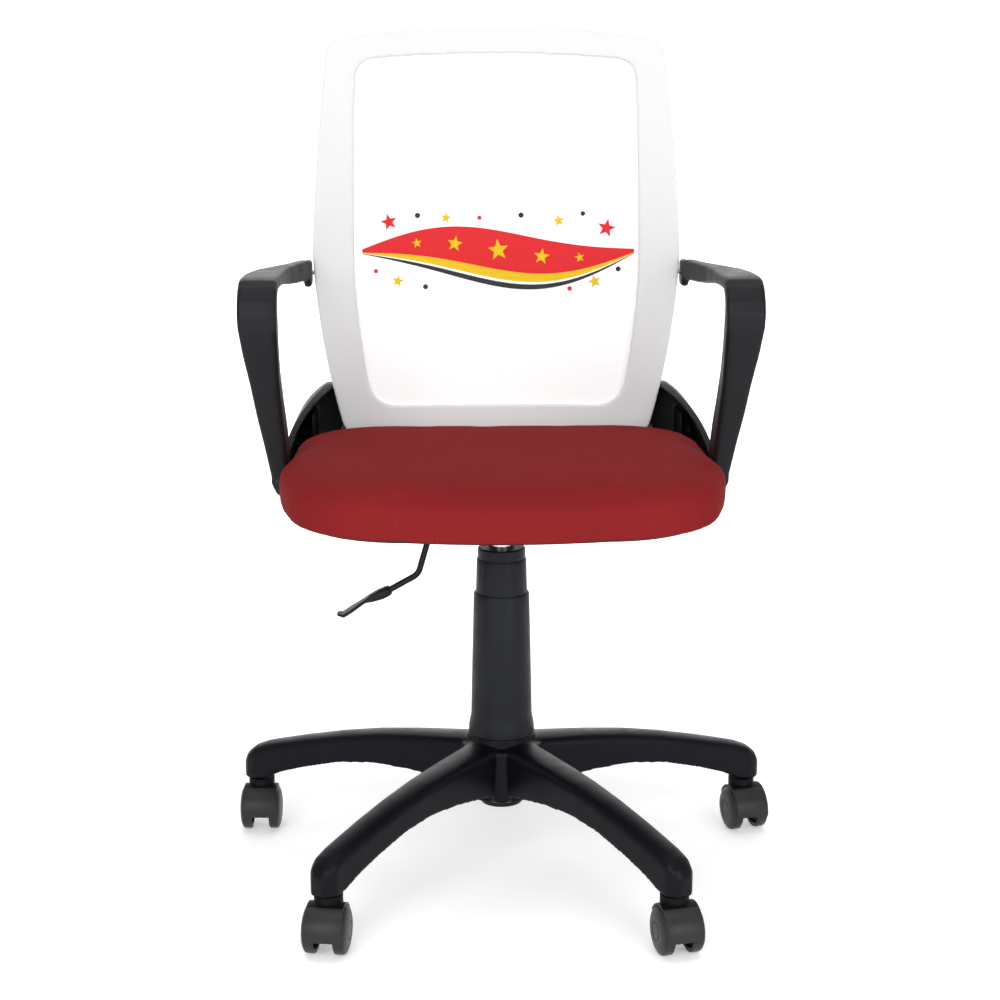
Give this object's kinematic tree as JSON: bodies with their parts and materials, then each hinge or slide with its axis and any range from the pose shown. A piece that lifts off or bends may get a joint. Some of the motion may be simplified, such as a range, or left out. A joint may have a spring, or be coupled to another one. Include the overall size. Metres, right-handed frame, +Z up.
{
  "type": "kids barber chair",
  "caption": "Small swivel chair on a five-star caster base with gas lift and lever, red padded seat, black loop armrests and a white-framed mesh back.",
  "frame": {"origin": "on the floor, under the axis of the column", "axes": "+Z up along the column, +Y towards the back of the chair, so the sitter faces -Y, and +X to the right as seen from the front"},
  "size_m": [0.6239, 0.6067, 0.931],
  "materials": {
    "base_nylon": "satin moulded nylon",
    "arm_nylon": "satin moulded plastic",
    "caster_nylon": "semi-gloss nylon",
    "cover_plastic": "satin polypropylene",
    "back_plastic": "white satin plastic",
    "back_net": "white woven net",
    "white_plastic": "plain",
    "seat_fabric": "red woven upholstery",
    "dust_cloth": "black non-woven cloth",
    "plywood": "raw plywood",
    "black_steel": "black powder coat",
    "chrome_steel": "polished chrome",
    "bright_steel": "bright steel",
    "zinc_steel": "zinc plated",
    "black_rubber": "matt rubber"
  },
  "bodies": {
    "base": {"star_base": "base_nylon", "gas_tube": "black_steel", "guide_bush": "white_plastic", "thrust_bearing": "bright_steel", "lower_cover": "cover_plastic"},
    "piston": {"piston_rod": "bright_steel", "rod_clip": "bright_steel", "bump_stop": "black_rubber"},
    "middle_sleeve": {"middle_cover": "cover_plastic"},
    "seat": {"gas_cylinder": "chrome_steel", "upper_cover": "cover_plastic", "seat_plate": "black_steel", "plate_bolts": "zinc_steel", "lever_bush": "base_nylon", "seat_board": "plywood", "tee_nuts": "zinc_steel", "dust_cover": "dust_cloth", "seat_cushion": "seat_fabric", "armrest_left": "arm_nylon", "armrest_right": "arm_nylon", "arm_bolts": "zinc_steel", "arm_screws": "zinc_steel", "back_bracket_left": "arm_nylon", "back_bracket_right": "arm_nylon", "bracket_bolts": "zinc_steel", "back_screws": "zinc_steel", "back_frame": "back_plastic", "back_mesh": "back_net", "mesh_spline": "white_plastic"},
    "lever": {"lever_rod": "black_steel", "lever_handle": "arm_nylon"},
    "pin": {"release_pin": "bright_steel"},
    "caster_1": {"caster_hood_1": "caster_nylon", "caster_stem_1": "bright_steel", "caster_axle_1": "bright_steel"},
    "wheel_left_1": {"wheel_left_1": "caster_nylon"},
    "wheel_right_1": {"wheel_right_1": "caster_nylon"},
    "caster_2": {"caster_hood_2": "caster_nylon", "caster_stem_2": "bright_steel", "caster_axle_2": "bright_steel"},
    "wheel_left_2": {"wheel_left_2": "caster_nylon"},
    "wheel_right_2": {"wheel_right_2": "caster_nylon"},
    "caster_3": {"caster_hood_3": "caster_nylon", "caster_stem_3": "bright_steel", "caster_axle_3": "bright_steel"},
    "wheel_left_3": {"wheel_left_3": "caster_nylon"},
    "wheel_right_3": {"wheel_right_3": "caster_nylon"},
    "caster_4": {"caster_hood_4": "caster_nylon", "caster_stem_4": "bright_steel", "caster_axle_4": "bright_steel"},
    "wheel_left_4": {"wheel_left_4": "caster_nylon"},
    "wheel_right_4": {"wheel_right_4": "caster_nylon"},
    "caster_5": {"caster_hood_5": "caster_nylon", "caster_stem_5": "bright_steel", "caster_axle_5": "bright_steel"},
    "wheel_left_5": {"wheel_left_5": "caster_nylon"},
    "wheel_right_5": {"wheel_right_5": "caster_nylon"}
  },
  "joints": [
    {"name": "seat_swivel", "type": "hinge", "parent": "base", "child": "piston", "pos_m": [0, 0, 0], "axis": [0, 0, 1], "continuous": true},
    {"name": "lift", "type": "slide", "parent": "piston", "child": "seat", "axis": [0, 0, 1], "range_m": [-0.045, 0.075]},
    {"name": "middle_cover_slide", "type": "slide", "parent": "base", "child": "middle_sleeve", "axis": [0, 0, 1], "range_m": [-0.033, 0.0545]},
    {"name": "lever_tilt", "type": "hinge", "parent": "seat", "child": "lever", "pos_m": [-0.031, 0, 0.4076], "axis": [0, 1, 0], "range_deg": [0, 7], "stiffness_Nm_per_rad": 1.2, "springref_deg": -2.86},
    {"name": "pin_press", "type": "slide", "parent": "seat", "child": "pin", "axis": [0, 0, 1], "range_m": [-0.0041, 0]},
    {"name": "caster_swivel_1", "type": "hinge", "parent": "base", "child": "caster_1", "pos_m": [0.00785, 0.2999, 0.06], "axis": [0, 0, 1], "continuous": true},
    {"name": "wheel_spin_left_1", "type": "hinge", "parent": "caster_1", "child": "wheel_left_1", "pos_m": [0.00855, 0.28992, 0.025], "axis": [0.9976, 0.0698, 0], "continuous": true},
    {"name": "wheel_spin_right_1", "type": "hinge", "parent": "caster_1", "child": "wheel_right_1", "pos_m": [0.00855, 0.28992, 0.025], "axis": [0.9976, 0.0698, 0], "continuous": true},
    {"name": "caster_swivel_2", "type": "hinge", "parent": "base", "child": "caster_2", "pos_m": [-0.28279, 0.10014, 0.06], "axis": [0, 0, 1], "continuous": true},
    {"name": "wheel_spin_left_2", "type": "hinge", "parent": "caster_2", "child": "wheel_left_2", "pos_m": [-0.28297, 0.09014, 0.025], "axis": [0.9998, -0.0175, 0], "continuous": true},
    {"name": "wheel_spin_right_2", "type": "hinge", "parent": "caster_2", "child": "wheel_right_2", "pos_m": [-0.28297, 0.09014, 0.025], "axis": [0.9998, -0.0175, 0], "continuous": true},
    {"name": "caster_swivel_3", "type": "hinge", "parent": "base", "child": "caster_3", "pos_m": [-0.18263, -0.23801, 0.06], "axis": [0, 0, 1], "continuous": true},
    {"name": "wheel_spin_left_3", "type": "hinge", "parent": "caster_3", "child": "wheel_left_3", "pos_m": [-0.18419, -0.24788, 0.025], "axis": [0.9877, -0.1564, 0], "continuous": true},
    {"name": "wheel_spin_right_3", "type": "hinge", "parent": "caster_3", "child": "wheel_right_3", "pos_m": [-0.18419, -0.24788, 0.025], "axis": [0.9877, -0.1564, 0], "continuous": true},
    {"name": "caster_swivel_4", "type": "hinge", "parent": "base", "child": "caster_4", "pos_m": [0.16992, -0.24724, 0.06], "axis": [0, 0, 1], "continuous": true},
    {"name": "wheel_spin_left_4", "type": "hinge", "parent": "caster_4", "child": "wheel_left_4", "pos_m": [0.17234, -0.25694, 0.025], "axis": [0.9703, 0.2419, 0], "continuous": true},
    {"name": "wheel_spin_right_4", "type": "hinge", "parent": "caster_4", "child": "wheel_right_4", "pos_m": [0.17234, -0.25694, 0.025], "axis": [0.9703, 0.2419, 0], "continuous": true},
    {"name": "caster_swivel_5", "type": "hinge", "parent": "base", "child": "caster_5", "pos_m": [0.28765, 0.08521, 0.06], "axis": [0, 0, 1], "continuous": true},
    {"name": "wheel_spin_left_5", "type": "hinge", "parent": "caster_5", "child": "wheel_left_5", "pos_m": [0.29023, 0.07555, 0.025], "axis": [0.9659, 0.2588, 0], "continuous": true},
    {"name": "wheel_spin_right_5", "type": "hinge", "parent": "caster_5", "child": "wheel_right_5", "pos_m": [0.29023, 0.07555, 0.025], "axis": [0.9659, 0.2588, 0], "continuous": true}
  ],
  "couplings": [
    {"joint": "middle_cover_slide", "follows": "lift", "ratio": 0.72},
    {"joint": "pin_press", "follows": "lever_tilt", "m_per_rad": -0.0325}
  ]
}
